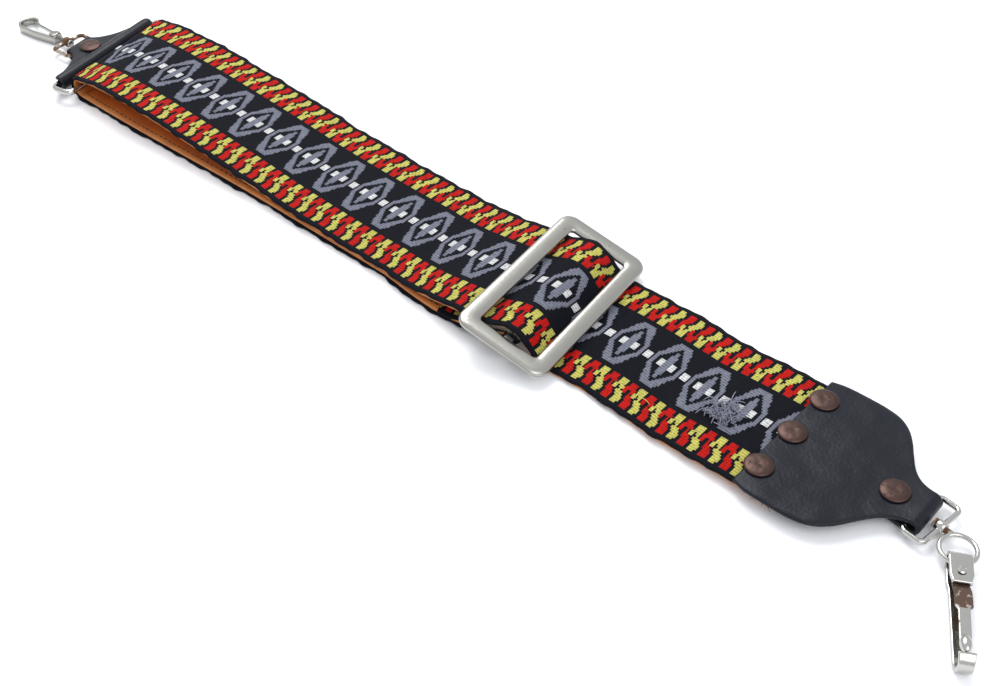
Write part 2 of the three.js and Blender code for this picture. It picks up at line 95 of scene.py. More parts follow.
# %% A smooth line
def smooth_line(points, step):
    """Centripetal Catmull-Rom: knots are spaced by the root of the distance, and each stretch is blended
    from its four neighbours. The result is then respaced evenly by arc length."""
    p = np.array(points, float)
    p = np.vstack([2 * p[0] - p[1], p, 2 * p[-1] - p[-2]])
    knots = np.concatenate([[0], np.cumsum(np.linalg.norm(np.diff(p, axis=0), axis=1) ** 0.5)])
    runs = []
    for i in range(1, len(p) - 2):
        t = np.linspace(knots[i], knots[i + 1], 20)[:, None]
        k0, k1, k2, k3 = knots[i - 1:i + 3]
        a1 = ((k1 - t) * p[i - 1] + (t - k0) * p[i]) / (k1 - k0)
        a2 = ((k2 - t) * p[i] + (t - k1) * p[i + 1]) / (k2 - k1)
        a3 = ((k3 - t) * p[i + 1] + (t - k2) * p[i + 2]) / (k3 - k2)
        b1 = ((k2 - t) * a1 + (t - k0) * a2) / (k2 - k0)
        b2 = ((k3 - t) * a2 + (t - k1) * a3) / (k3 - k1)
        runs.append(((k2 - t) * b1 + (t - k1) * b2) / (k2 - k1))
    return respaced(np.vstack(runs), step)


def arc_lengths(line):
    """The distance walked along a line, at each of its points."""
    return np.concatenate([[0], np.cumsum(np.linalg.norm(np.diff(line, axis=0), axis=1))])


def respaced(line, step):
    """The same line with its points a step apart."""
    walked = arc_lengths(line)
    keep = np.concatenate([[True], np.diff(walked) > 1e-9])
    line, walked = line[keep], walked[keep]
    at = np.linspace(0, walked[-1], max(3, int(round(walked[-1] / step)) + 1))
    return np.stack([np.interp(at, walked, line[:, k]) for k in range(line.shape[1])], 1)


def arc(x, z, radius, start, stop, count=24):
    """Points on a circle about (x, z), from one angle to another in degrees."""
    a = np.radians(np.linspace(start, stop, count))
    return np.stack([x + radius * np.cos(a), z + radius * np.sin(a)], 1)


def left_of(line):
    """The unit direction to the left of a 2-D line, at each of its points."""
    ahead = np.gradient(line, axis=0)
    ahead /= np.linalg.norm(ahead, axis=1, keepdims=True)
    return np.stack([-ahead[:, 1], ahead[:, 0]], 1)


print("a test line has", len(smooth_line([[0, 0], [5, 1], [10, 0]], 0.5)), "points")


# %% Meshes from grids
def outward(points, quads):
    """Quads turned so that the closed mesh has a positive volume: the sum of the signed tetrahedra."""
    a, b, c, d = (points[quads[:, k]] for k in range(4))
    volume = np.einsum("ij,ij->i", a, np.cross(b, c) + np.cross(c, d)).sum()
    return quads if volume > 0 else quads[:, ::-1]


def mesh_object(name, points, quads, smooth=True):
    """A mesh object at the origin, from metres and four corners to a face."""
    mesh = bpy.data.meshes.new(name)
    faces = [tuple(dict.fromkeys(q)) for q in quads.tolist()]
    mesh.from_pydata(points.tolist(), [], faces)
    mesh.polygons.foreach_set("use_smooth", np.full(len(mesh.polygons), smooth))
    piece = bpy.data.objects.new(name, mesh)
    bpy.context.scene.collection.objects.link(piece)
    return piece


def grid_quads(rows, columns, first=0):
    """The quads of a grid of points numbered row by row."""
    i, j = np.meshgrid(np.arange(rows - 1), np.arange(columns - 1), indexing="ij")
    a = (first + i * columns + j).ravel()
    return np.stack([a, a + columns, a + columns + 1, a + 1], 1)


def slab(top, bottom):
    """A closed slab from two skins, each a grid [along, across, xyz]. Walls join the four pairs of edges.
    The top skin's quads come first, in grid order."""
    rows, columns = top.shape[:2]
    under = rows * columns
    points = np.concatenate([top.reshape(-1, 3), bottom.reshape(-1, 3)])
    number = np.arange(under).reshape(rows, columns)
    rim = np.concatenate([number[:-1, 0], number[-1, :-1], number[:0:-1, -1], number[0, :0:-1]])
    after = np.roll(rim, -1)
    walls = np.stack([rim, after, after + under, rim + under], 1)
    skin = grid_quads(rows, columns)
    quads = np.concatenate([skin[:, ::-1], skin + under, walls])
    return points, outward(points, quads)


def wire(path, radius, sides=14, closed=False):
    """A round wire along a 3-D path: a circle is carried along it, kept upright by a fixed side."""
    path = np.asarray(path, float)
    if closed:
        ahead = np.roll(path, -1, 0) - np.roll(path, 1, 0)
    else:
        ahead = np.gradient(path, axis=0)
    ahead /= np.linalg.norm(ahead, axis=1, keepdims=True)
    up = np.where(np.abs(ahead[:, 2:]) > 0.9, [[1.0, 0, 0]], [[0, 0, 1.0]])
    side = np.cross(up, ahead)
    side /= np.linalg.norm(side, axis=1, keepdims=True)
    over = np.cross(ahead, side)
    a = np.linspace(0, 2 * np.pi, sides, endpoint=False)
    rim = side[:, None] * np.cos(a)[None, :, None] + over[:, None] * np.sin(a)[None, :, None]
    radius = np.broadcast_to(np.asarray(radius, float), (len(path),))
    points = path[:, None] + rim * radius[:, None, None]
    return tube_mesh(points, closed)


def tube_mesh(rings, closed):
    """A closed mesh from rings of points, each joined to the next. Open ends get a middle point."""
    count, sides = rings.shape[:2]
    i, j = np.meshgrid(np.arange(count if closed else count - 1), np.arange(sides), indexing="ij")
    here, there = i * sides, ((i + 1) % count) * sides
    next_side = (j + 1) % sides
    quads = np.stack([here + j, here + next_side, there + next_side, there + j], -1).reshape(-1, 4)
    points = rings.reshape(-1, 3)
    if not closed:
        start, stop = len(points), len(points) + 1
        points = np.vstack([points, rings[0].mean(0), rings[-1].mean(0)])
        k = np.arange(sides)
        n = (k + 1) % sides
        last = (count - 1) * sides
        caps = [np.stack([k, np.full(sides, start), n, n], 1)]
        caps.append(np.stack([last + n, np.full(sides, stop), last + k, last + k], 1))
        quads = np.concatenate([quads, *caps])
    return points, outward(points, quads)


def turned(profile, sides=40):
    """A solid turned about Z from [radius, z] points: x = r cos a, y = r sin a."""
    profile = np.array(profile, float)
    a = np.linspace(0, 2 * np.pi, sides, endpoint=False)
    ring = np.stack([np.cos(a), np.sin(a)], 1)
    flat = profile[:, None, :1] * ring[None]
    high = np.broadcast_to(profile[:, None, 1:], (len(profile), sides, 1))
    return tube_mesh(np.concatenate([flat, high], 2), False)


def together(*meshes):
    """Several closed meshes as one list of points and faces."""
    points, quads, first = [], [], 0
    for p, q in meshes:
        points.append(p)
        quads.append(q + first)
        first += len(p)
    return np.vstack(points), np.vstack(quads)


print("a turned test solid has", len(turned([[1, 0], [1, 1]])[1]), "faces")

# %% [markdown]
# ## The band's route
# The band starts under the long hook's leather, runs flat to the slide, climbs over the hidden centre bar,
# runs on to the far ring, turns round it, and comes back underneath to a loop on the bar. It is one line
# in side view. The cloth is skewed along its way, because the slide and the far ring both sit at an angle.

# %% The route, run by run
FOLD_X, FOLD_Z, FOLD_RADIUS = -223.5, 5.0, 4.45
far_turn = arc(FOLD_X, FOLD_Z, FOLD_RADIUS, 78, 270, 40)
ROUTE = {
    "near": smooth_line([
        [98, 3.15], [86, 3.15], [76, 3.0], [62, 2.4], [46, 1.75], [32, 1.5], [19.2, 1.5],
    ], 0.5),
    "hump": smooth_line([
        [19.2, 1.5], [16, 1.5], [12.8, 1.7], [9.5, 2.8], [7.0, 5.4], [5.0, 8.4], [2.2, 10.5], [-1.8, 10.95],
        [-6, 9.95], [-10.2, 8.75], [-16, 8.65], [-24, 7.9], [-37.2, 5.7],
    ], 0.5),
    "upper": smooth_line([
        [-37.2, 5.7], [-50, 4.1], [-65, 3.6], [-80, 3.8], [-95, 4.3], [-110, 5.0], [-125, 6.4], [-140, 7.9],
        [-155, 9.4], [-170, 10.8], [-185, 11.8], [-200, 12.2], [-212.2, 11.5],
    ], 0.5),
    "fold": np.vstack([[-212.2, 11.5], [-216, 11.0], [-219.5, 10.25], far_turn, [-218.8, 0.55]]),
    "lower": smooth_line([
        [-218.8, 0.55], [-190, 0.55], [-150, 0.55], [-110, 0.55], [-70, 0.55], [-34, 0.55], [-26, 0.75],
        [-18, 2.0], [-10, 4.5], [-4, 5.9], [0.2, 5.75], [1.8, 5.95], [2.75, 6.8], [2.5, 7.75], [0.6, 8.5],
        [-2, 8.95], [-5, 8.2], [-13, 5.3], [-21, 3.2], [-28, 2.45], [-33, 2.5],
    ], 0.5),
}
whole = respaced(np.vstack(list(ROUTE.values())), 0.25)
soften = np.hanning(9) / np.hanning(9).sum()
eased = np.stack([np.convolve(np.pad(whole[:, k], 4, mode="edge"), soften, "valid") for k in range(2)], 1)
walked = arc_lengths(eased)
run_ends = np.cumsum([0] + [arc_lengths(run)[-1] for run in ROUTE.values()])
run_ends *= walked[-1] / run_ends[-1]
RUN = dict(zip(ROUTE, zip(run_ends[:-1], run_ends[1:])))
print("route in mm", {name: (round(a, 1), round(b, 1)) for name, (a, b) in RUN.items()})


# %% Where a point of the cloth lies
def skew_at(x):
    """How far back each millimetre across the band lies: nothing at the long hook's end, the slide's angle
    at the slide, then growing evenly to the far ring's angle."""
    slide, far = math.tan(SLIDE_YAW), math.tan(FAR_YAW)
    ease = np.clip((62 - x) / 40, 0, 1)
    near_side = slide * ease * ease * (3 - 2 * ease)
    return np.where(x > -25, near_side, slide + (far - slide) * np.clip((-25 - x) / 198, 0, 1))


def drift_at(x):
    """How far the middle line leaves the X axis: a bend through the slide, and a drift to the far end."""
    inside = np.abs(x) < SLIDE_BEND_HALF
    bend = np.where(inside, SLIDE_BEND_ASIDE * np.sin(np.pi * x / SLIDE_BEND_HALF), 0)
    ease = np.clip((-x - 110) / 105, 0, 1)
    return bend + FAR_DRIFT * ease * ease * (3 - 2 * ease)


def cloth(along, across, height):
    """The point of the cloth at a length along the pattern, a place across it, and a height to the left of
    the route. Pattern columns stay square to the strap, so the walked length leans with the skew:
    s = along + lean * skew * across, then x = X(s) - skew * across + height * normal."""
    lean = np.interp(along, RUN["fold"], [-1.0, 1.0])
    flat_x = np.interp(along, walked, eased[:, 0])
    s = along + lean * skew_at(flat_x) * across
    normal = left_of(eased)
    x = np.interp(s, walked, eased[:, 0])
    z = np.interp(s, walked, eased[:, 1])
    beyond = s - np.clip(s, 0, walked[-1])
    x = x - beyond * (s < 0) + beyond * (s > walked[-1])
    nx = np.interp(s, walked, normal[:, 0])
    nz = np.interp(s, walked, normal[:, 1])
    skewed = x - skew_at(x) * across
    return np.stack([skewed + height * nx, across + drift_at(x) + 0 * x, z + height * nz], -1)


print("cloth at the slide", cloth(np.array([RUN["hump"][0]]), np.array([0.0]), 0).round(1))

# %% [markdown]
# ## The camera, floor and light
# The strap lies on a plain white table under broad, soft light. The camera stands in front and to one side,
# well above the table, with a normal lens. It comes first, so that every later piece can be judged in it.

# %% Camera
CAMERA_AZIMUTH = math.radians(42.27)
CAMERA_ELEVATION = math.radians(42.82)
CAMERA_ROLL = math.radians(-0.53)
CAMERA_DISTANCE = 421.0
CAMERA_LENS = 48.47
SENSOR_WIDTH = 36
AIM = np.array([-2.96, -23.07, 0])

back = np.array([
    math.sin(CAMERA_AZIMUTH) * math.cos(CAMERA_ELEVATION),
    -math.cos(CAMERA_AZIMUTH) * math.cos(CAMERA_ELEVATION),
    math.sin(CAMERA_ELEVATION),
])
camera_data = bpy.data.cameras.new("camera")
camera_data.lens = CAMERA_LENS
camera_data.sensor_width = SENSOR_WIDTH
camera_data.clip_start = 0.01
camera = bpy.data.objects.new("camera", camera_data)
camera.location = Vector(on_table(AIM + back * CAMERA_DISTANCE))
camera.rotation_mode = "QUATERNION"
looking = Vector(-back)
camera.rotation_quaternion = Quaternion(looking, -CAMERA_ROLL) @ looking.to_track_quat("-Z", "Y")
bpy.context.scene.collection.objects.link(camera)
bpy.context.scene.camera = camera
print("camera at", [round(v, 3) for v in camera.location])


# %% Floor and lights
def node_material(name):
    """A material with nodes, its shader, and its node tree."""
    made = bpy.data.materials.new(name)
    made.use_nodes = True
    return made, made.node_tree.nodes["Principled BSDF"], made.node_tree


FLOOR_HALF = 4.0
FLOOR_HEIGHT = -0.0001
floor_corners = [(-1, -1), (1, -1), (1, 1), (-1, 1)]
floor_mesh = bpy.data.meshes.new("floor")
floor_mesh.from_pydata(
    [(x * FLOOR_HALF, y * FLOOR_HALF, FLOOR_HEIGHT) for x, y in floor_corners], [], [(0, 1, 2, 3)],
)
floor = bpy.data.objects.new("floor", floor_mesh)
bpy.context.scene.collection.objects.link(floor)
floor_white, floor_shader, _ = node_material("floor_white")
floor_shader.inputs["Base Color"].default_value = (0.93, 0.94, 0.96, 1)
floor_shader.inputs["Roughness"].default_value = 0.7
floor_mesh.materials.append(floor_white)

world = bpy.data.worlds.new("studio")
world.use_nodes = True
sky = world.node_tree.nodes["Background"]
sky.inputs["Color"].default_value = (0.94, 0.96, 1.0, 1)
sky.inputs["Strength"].default_value = 0.85
bpy.context.scene.world = world
bpy.context.scene.view_settings.view_transform = "Standard"


def soft_light(name, place, size, power):
    """A square lamp that faces the strap's middle."""
    lamp = bpy.data.lights.new(name, "AREA")
    lamp.size = size
    lamp.energy = power
    lit = bpy.data.objects.new(name, lamp)
    lit.location = place
    lit.rotation_mode = "QUATERNION"
    lit.rotation_quaternion = (-Vector(place)).to_track_quat("-Z", "Y")
    bpy.context.scene.collection.objects.link(lit)


soft_light("key", (-0.5, 0.35, 0.9), 0.7, 9)
soft_light("fill", (0.8, -0.3, 0.9), 0.9, 5)

# %% [markdown]
# ## The pattern as a weaver's draft
# A jacquard band is drawn on squared paper: one character is one small block of coloured yarn. Half a
# diamond is drawn below, from the middle outwards, and the loom mirrors it. The border motif repeats twice
# in each diamond's length. A dot is the black ground, G grey, W white, R red and Y yellow.

# %% The draft
PATTERN_PITCH = 14.79
SQUARE_AT = 76.82
FIRST_SQUARE = SQUARE_AT - 5 * PATTERN_PITCH
COLUMNS = 24
ROWS = 49
DIAMOND = [
    "GGWWW..GG.WW", "GGWWW..GG.WW", "GG.....GG...", "GG....GGG...", "GG...GGG....", "G...GGG.....",
    "G..GGGG.....", "..GGGG......", ".GGGGG......", "GGGGG.......", "GGGG........", "............",
    "............",
]
BORDER = [
    ".RRRR..YYYY.", ".RRRR..YYYY.", "RRRRRR.YYYY.", "RR..RRYYY.YY", "RR..RRYY..YY", "RR...YYYY..R",
    "RR..YYYY..RR", "R..YYYY..RRR", "R..YYYY..RRR", "R...YYY..RRR", "............", "............",
]
YARN = {
    ".": (0.0050, 0.0065, 0.0115), "G": (0.22, 0.23, 0.29), "W": (0.80, 0.80, 0.80),
    "R": (0.60, 0.010, 0.006), "Y": (0.66, 0.62, 0.14),
}
YARN_NAMES = list(YARN)
half_rows = [row[::-1] + row for row in DIAMOND] + [row + row for row in BORDER]
draft = np.array([[YARN_NAMES.index(c) for c in row] for row in half_rows])
print("draft", draft.shape, "blocks")


def yarn_at(column, row):
    """The yarn of a block: rows are mirrored about the middle one."""
    return draft[np.abs(row - ROWS // 2), np.mod(column, COLUMNS)]


# %% [markdown]
# ## The woven cloth
# The weave is a slab with one quad to each block of the draft. Coloured yarns float over the black ground,
# so their blocks stand a little higher, and the edges wander slightly, as old webbing does. The colour is
# an attribute of the faces, so it stays sharp at each step of the motif. The cloth is split where the CAD
# splits it, because each run follows different bodies when the length is adjusted.

# %% Weave one run
BLOCK = PATTERN_PITCH / COLUMNS
FLOAT_HEIGHT = 0.09
YARN_JITTER = 0.012
EDGE_WANDER = 0.34
EDGE_PULL = 0.15
EDGE_ROUNDING = 0.22
WANDER_WAVES = [47.0, 29.0, 17.0, 11.0, 6.5]
GROUND_SHOWS = 0.6
DYE_SPREAD = 0.07


def run_columns(name):
    """The pattern lengths at a run's block edges, with the run's own ends first and last."""
    low, high = RUN[name]
    first, last = math.ceil((low - FIRST_SQUARE) / BLOCK), math.floor((high - FIRST_SQUARE) / BLOCK)
    inner = FIRST_SQUARE + BLOCK * np.arange(first, last + 1)
    inner = inner[(inner > low + 0.05) & (inner < high - 0.05)]
    return np.concatenate([[low], inner, [high]])


def wander(along, seed):
    """A slow random line of about one: a sum of sines with fixed random phases."""
    phases = np.random.default_rng(seed).uniform(0, 2 * np.pi, len(WANDER_WAVES))
    return sum(np.sin(2 * np.pi * along / w + p) for w, p in zip(WANDER_WAVES, phases)) / 2.2


def ragged(blocks, name):
    """Lets the black ground show at many of the places where red or yellow takes over from the other."""
    chance = np.random.default_rng(len(name) + 40).random(blocks.shape)
    before = np.roll(blocks, 1, 0)
    border = YARN_NAMES.index("R")
    taken_over = (blocks != before) & (blocks >= border) & (before >= border)
    return np.where(taken_over & (chance < GROUND_SHOWS), 0, blocks)


def edge_line(s, v):
    """The place across, pulled in at the two edges and wandering there: w(s) over the outer eighth."""
    edge = np.abs(v) / (BAND_WIDTH / 2)
    outer = np.clip(edge * 8 - 7, 0, 1)
    sway = EDGE_WANDER * wander(s, 3) * outer - EDGE_PULL * (edge > 0.999)
    return v + sway * np.sign(v)


def woven_run(name):
    """A run of cloth: heights are the average of the blocks round each corner, times the float's height."""
    along = run_columns(name)
    across = np.linspace(-BAND_WIDTH / 2, BAND_WIDTH / 2, ROWS + 1)
    middles = (along[1:] + along[:-1]) / 2
    column = np.floor((middles - FIRST_SQUARE) / BLOCK).astype(int)
    blocks = ragged(yarn_at(column[:, None], np.arange(ROWS)[None, :]), name)
    raised = np.pad((blocks > 0).astype(float), 1, mode="edge")
    height = (raised[1:, 1:] + raised[:-1, 1:] + raised[1:, :-1] + raised[:-1, :-1]) / 4
    jitter = np.random.default_rng(5).normal(0, YARN_JITTER, height.shape)
    s, v = np.meshgrid(along, across, indexing="ij")
    rounding = EDGE_ROUNDING * (np.abs(v) / (BAND_WIDTH / 2) > 0.999)
    v = edge_line(s, v)
    # The patterned face looks to the right of the route, so its heights are negative.
    top = cloth(s, v, -(WEAVE_HALF + FLOAT_HEIGHT * (height - 0.5) + jitter - rounding))
    bottom = cloth(s, v, WEAVE_HALF - rounding)
    points, quads = slab(top, bottom)
    piece = mesh_object(f"woven_{name}", on_table(points), quads)
    paint_cloth(piece, blocks, quads)
    mark_places(piece, s, v)
    return piece


def paint_cloth(piece, blocks, quads):
    """Colours each face by its block, with a little unevenness in the dye."""
    mesh = piece.data
    count = blocks.size
    colours = np.array(list(YARN.values()))
    shade = np.random.default_rng(9).normal(1, DYE_SPREAD, (count, 1))
    face_colour = np.tile(colours[0], (len(quads), 1))
    face_colour[:count] = np.clip(colours[blocks.ravel()] * shade, 0, 1)
    sizes = np.array([p.loop_total for p in mesh.polygons])
    loops = np.repeat(np.concatenate([face_colour, np.ones((len(quads), 1))], 1), sizes, 0)
    attribute = mesh.color_attributes.new("yarn", "FLOAT_COLOR", "CORNER")
    attribute.data.foreach_set("color", loops.astype(np.float32).ravel())


def mark_places(piece, s, v):
    """Stores the place on the cloth in millimetres at each point of a slab, for the relief, the tone and the
    weave's painted rib shade.
    """
    spot = np.stack([s, v, 0 * s], -1).reshape(-1, 3)
    place = piece.data.attributes.new("place", "FLOAT_VECTOR", "POINT")
    place.data.foreach_set("vector", np.concatenate([spot, spot]).astype(np.float32).ravel())


woven = {name: woven_run(name) for name in RUN}
print("woven faces", {name: len(o.data.polygons) for name, o in woven.items()})


# %% The weave's finish, with painted rib shade and highlight
def link(tree, a, b):
    """Joins an output to an input."""
    tree.links.new(a, b)


def bumped(tree, shader, height, strength, distance):
    """Joins a height to the shader's normal through a bump."""
    bump = tree.nodes.new("ShaderNodeBump")
    bump.inputs["Strength"].default_value = strength
    bump.inputs["Distance"].default_value = distance
    link(tree, height, bump.inputs["Height"])
    link(tree, bump.outputs["Normal"], shader.inputs["Normal"])


def maths(tree, operation, a, b=0):
    """A math node on two sockets or numbers. Sine, cosine and absolute use the first one only."""
    node = tree.nodes.new("ShaderNodeMath")
    node.operation = operation
    for socket, value in zip(node.inputs, (a, b)):
        if isinstance(value, (int, float)):
            socket.default_value = value
        else:
            link(tree, value, socket)
    return node.outputs["Value"]


def noise(tree, vector, scale, detail=3):
    """A noise texture's factor."""
    node = tree.nodes.new("ShaderNodeTexNoise")
    node.inputs["Scale"].default_value = scale
    node.inputs["Detail"].default_value = detail
    link(tree, vector, node.inputs["Vector"])
    return node.outputs[0]


def tinted(tree, factor, low, high):
    """A ramp from one colour to another."""
    ramp = tree.nodes.new("ShaderNodeValToRGB")
    ramp.color_ramp.elements[0].color = (*low, 1)
    ramp.color_ramp.elements[1].color = (*high, 1)
    link(tree, factor, ramp.inputs["Fac"])
    return ramp


def multiplied(tree, a, b):
    """Two colours multiplied."""
    node = tree.nodes.new("ShaderNodeMix")
    node.data_type = "RGBA"
    node.blend_type = "MULTIPLY"
    node.inputs["Factor"].default_value = 1
    link(tree, a, node.inputs["A"])
    link(tree, b, node.inputs["B"])
    return node.outputs["Result"]


def attribute_of(tree, name):
    """A node that reads an attribute of the mesh."""
    node = tree.nodes.new("ShaderNodeAttribute")
    node.attribute_name = name
    return node


def cloth_place(tree):
    """The place on the cloth as a vector, along it and across it, in millimetres."""
    place = attribute_of(tree, "place").outputs["Vector"]
    split = tree.nodes.new("ShaderNodeSeparateXYZ")
    link(tree, place, split.inputs["Vector"])
    return place, split.outputs["X"], split.outputs["Y"]


def waves(tree, place, pitch):
    """sin(2 pi place / pitch): an even row of ridges."""
    return maths(tree, "SINE", maths(tree, "MULTIPLY", place, 2 * math.pi / pitch))


WARP_PITCH = 0.52
WARP_SHARE = 0.6
GROOVE_SHADE_SHARPNESS = 14


def weave_material():
    """Two ribs to a block along the band, crossed by finer warp ribs, both as bump and as painted shade and
    highlight over the yarn's own colour. The painted shade in the groove between two rows of blocks is
    |cos(pi across / row)|, sharpened by a power."""
    made, shader, tree = node_material("jacquard_weave")
    yarn = attribute_of(tree, "yarn").outputs["Color"]
    place, along, across = cloth_place(tree)
    warp = maths(tree, "MULTIPLY", waves(tree, across, WARP_PITCH), WARP_SHARE)
    relief = maths(tree, "ADD", waves(tree, along, BLOCK / 2), warp)
    row = maths(tree, "MULTIPLY", across, math.pi * ROWS / BAND_WIDTH)
    # Painted shade: a dark line in the groove between two rows of blocks.
    groove_shade = maths(tree, "POWER", maths(tree, "ABSOLUTE", maths(tree, "COSINE", row)), GROOVE_SHADE_SHARPNESS)
    grain = noise(tree, place, 1.7)
    # The ribs' relief goes into the colour too: painted shade in their hollows and painted highlight on their
    # crests. The noise is a random tone.
    rib_shade_and_grain = maths(tree, "ADD", maths(tree, "MULTIPLY", relief, 0.16), maths(tree, "MULTIPLY", grain, 0.9))
    shade = maths(tree, "SUBTRACT", rib_shade_and_grain, maths(tree, "MULTIPLY", groove_shade, 0.45))
    # This ramp multiplies the yarn colour. Below one it is painted rib shade, and above one it is painted
    # highlight.
    tone = tinted(tree, shade, (0.35, 0.35, 0.35), (1.3, 1.3, 1.3))
    link(tree, multiplied(tree, yarn, tone.outputs["Color"]), shader.inputs["Base Color"])
    shader.inputs["Roughness"].default_value = 0.72
    shader.inputs["Specular IOR Level"].default_value = 0.10
    bumped(tree, shader, relief, 0.55, 0.0001)
    return made


weave = weave_material()
for name, piece in woven.items():
    piece.data.materials.append(weave)
    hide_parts(f"band_{name}")
print("weave nodes", len(weave.node_tree.nodes))

# %% [markdown]
# ## The vinyl lining
# The back of the band is a thin orange-brown vinyl, sewn on near each edge with dark thread. A slab makes it
# too, with its own finish: soft patches, a fine grain, and a paler strip outside the stitches.

# %% Lining runs
LINING_STEP = 1.2
LINING_COLUMNS = 41
LINING_RUN = dict(RUN)
LINING_RUN["lower"] = (RUN["lower"][0], RUN["lower"][0] + 219.5)  # it stops before the loop on the bar


def lining_run(name):
    """A run of lining between its two heights above the route's left side."""
    low, high = LINING_RUN[name]
    along = np.linspace(low, high, int((high - low) / LINING_STEP))
    across = np.linspace(-LINING_WIDTH / 2, LINING_WIDTH / 2, LINING_COLUMNS)
    s, v = np.meshgrid(along, across, indexing="ij")
    edge = (np.abs(v) / (LINING_WIDTH / 2)) > 0.999
    ripple = 0.03 * wander(s * 1.3 + v, 21)
    top = cloth(s, v, LINING_FAR - 0.15 * edge + ripple - 0.05)
    bottom = cloth(s, v, LINING_NEAR + 0.1 * edge)
    points, quads = slab(top, bottom)
    piece = mesh_object(f"vinyl_{name}", on_table(points), quads)
    mark_places(piece, s, v)
    return piece


PALE_FROM = 21.2
DARK_VINYL, LIGHT_VINYL = (0.36, 0.080, 0.012), (0.62, 0.185, 0.036)


def lining_material():
    """Orange-brown in soft patches, and paler outside the stitches: 0.6 (|across| - start)."""
    made, shader, tree = node_material("vinyl_lining")
    place, _, across = cloth_place(tree)
    edge = maths(tree, "MULTIPLY", maths(tree, "SUBTRACT", maths(tree, "ABSOLUTE", across), PALE_FROM), 0.6)
    patch = tinted(tree, noise(tree, place, 0.16, 5), DARK_VINYL, LIGHT_VINYL)
    pale = tinted(tree, edge, (1, 1, 1), (1.1, 1.5, 2.2))
    link(tree, multiplied(tree, patch.outputs["Color"], pale.outputs["Color"]), shader.inputs["Base Color"])
    shader.inputs["Roughness"].default_value = 0.5
    bumped(tree, shader, noise(tree, place, 2.2, 4), 0.3, 0.0002)
    return made


lining = lining_material()
vinyl = {name: lining_run(name) for name in RUN}
for name, piece in vinyl.items():
    piece.data.materials.append(lining)
    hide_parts(f"lining_{name}")
print("lining faces", {name: len(o.data.polygons) for name, o in vinyl.items()})

# %% [markdown]
# ## Stitches
# Dark thread holds the lining along both edges. Each stitch is a short curved piece of wire that dips into
# the vinyl at both ends.

# %% Stitch rows
STITCH_PITCH = 2.6
STITCH_LENGTH = 0.72 * STITCH_PITCH
STITCH_ASIDE = 22.4
THREAD_RADIUS = 0.17


def stitches(name, seed):
    """A row of stitches near each edge of a run, on the lining's face."""
    rng = np.random.default_rng(seed)
    low, high = LINING_RUN[name]
    unsewn = 7.0 if name == "lower" else 2.5
    starts = np.arange(low + 1.5, high - unsewn, STITCH_PITCH)
    rise = np.array([-0.12, 0.1, 0.16, 0.1, -0.12])
    parts = []
    for side in (-1, 1):
        for start in starts:
            s = start + np.linspace(0, STITCH_LENGTH, 5)
            v = side * STITCH_ASIDE + rng.normal(0, 0.06, 5)
            parts.append(wire(cloth(s, v, LINING_FAR + rise - 0.04), THREAD_RADIUS, 5))
    points, quads = together(*parts)
    return mesh_object(f"stitches_{name}", on_table(points), quads)


def plain(name, colour, roughness, metallic=0.0):
    """A material of one colour."""
    made, shader, _ = node_material(name)
    shader.inputs["Base Color"].default_value = (*colour, 1)
    shader.inputs["Roughness"].default_value = roughness
    shader.inputs["Metallic"].default_value = metallic
    return made


thread = plain("dark_thread", (0.02, 0.017, 0.016), 0.8)
stitched = {name: stitches(name, 30 + i) for i, name in enumerate(("near", "upper", "lower"))}
for piece in stitched.values():
    piece.data.materials.append(thread)
print("stitch faces", {name: len(o.data.polygons) for name, o in stitched.items()})

# %% [markdown]
# ## Metal and leather finishes
# The nickel is dull and pitted, with rust coming through in spots. The far loop and the near swivel's pin
# have mostly rusted. The leather is black and softly creased. The rivets are brown lacquered metal.

# %% Materials with wear
def object_place(tree):
    """The place on the piece, in metres."""
    return tree.nodes.new("ShaderNodeTexCoord").outputs["Object"]


RUST_EDGE = 0.06
RUST_LOSES_METAL = 0.75
RUST_ROUGHENS = 0.45


def worn_metal(name, bright, rust, spots, roughness):
    """Bright metal with rust where a noise passes a threshold: spots = (scale per metre, threshold)."""
    made, shader, tree = node_material(name)
    place = object_place(tree)
    scale, threshold = spots
    ramp = tree.nodes.new("ShaderNodeValToRGB")
    ramp.color_ramp.elements[0].position = threshold
    ramp.color_ramp.elements[1].position = threshold + RUST_EDGE
    link(tree, noise(tree, place, scale, 6), ramp.inputs["Fac"])
    mask = ramp.outputs["Color"]
    cloudy = tinted(tree, noise(tree, place, 180, 4), tuple(0.86 * c for c in bright), bright)
    mix = tree.nodes.new("ShaderNodeMix")
    mix.data_type = "RGBA"
    link(tree, mask, mix.inputs["Factor"])
    link(tree, cloudy.outputs["Color"], mix.inputs["A"])
    mix.inputs["B"].default_value = (*rust, 1)
    metallic = maths(tree, "SUBTRACT", 1.0, maths(tree, "MULTIPLY", mask, RUST_LOSES_METAL))
    rough = maths(tree, "ADD", roughness, maths(tree, "MULTIPLY", mask, RUST_ROUGHENS))
    link(tree, mix.outputs["Result"], shader.inputs["Base Color"])
    link(tree, metallic, shader.inputs["Metallic"])
    link(tree, rough, shader.inputs["Roughness"])
    bumped(tree, shader, noise(tree, place, 900, 4), 0.25, 0.00015)
    return made


def leather_material():
    """Black leather: broad creases and a fine grain as relief, with a slightly worn tone."""
    made, shader, tree = node_material("black_leather")
    place = object_place(tree)
    tone = tinted(tree, noise(tree, place, 60, 4), (0.0045, 0.0055, 0.009), (0.011, 0.013, 0.020))
    link(tree, tone.outputs["Color"], shader.inputs["Base Color"])
    shader.inputs["Roughness"].default_value = 0.36
    shader.inputs["Specular IOR Level"].default_value = 0.20
    fine = maths(tree, "MULTIPLY", noise(tree, place, 900, 3), 0.06)
    bumped(tree, shader, maths(tree, "ADD", noise(tree, place, 45, 2), fine), 0.7, 0.0026)
    return made


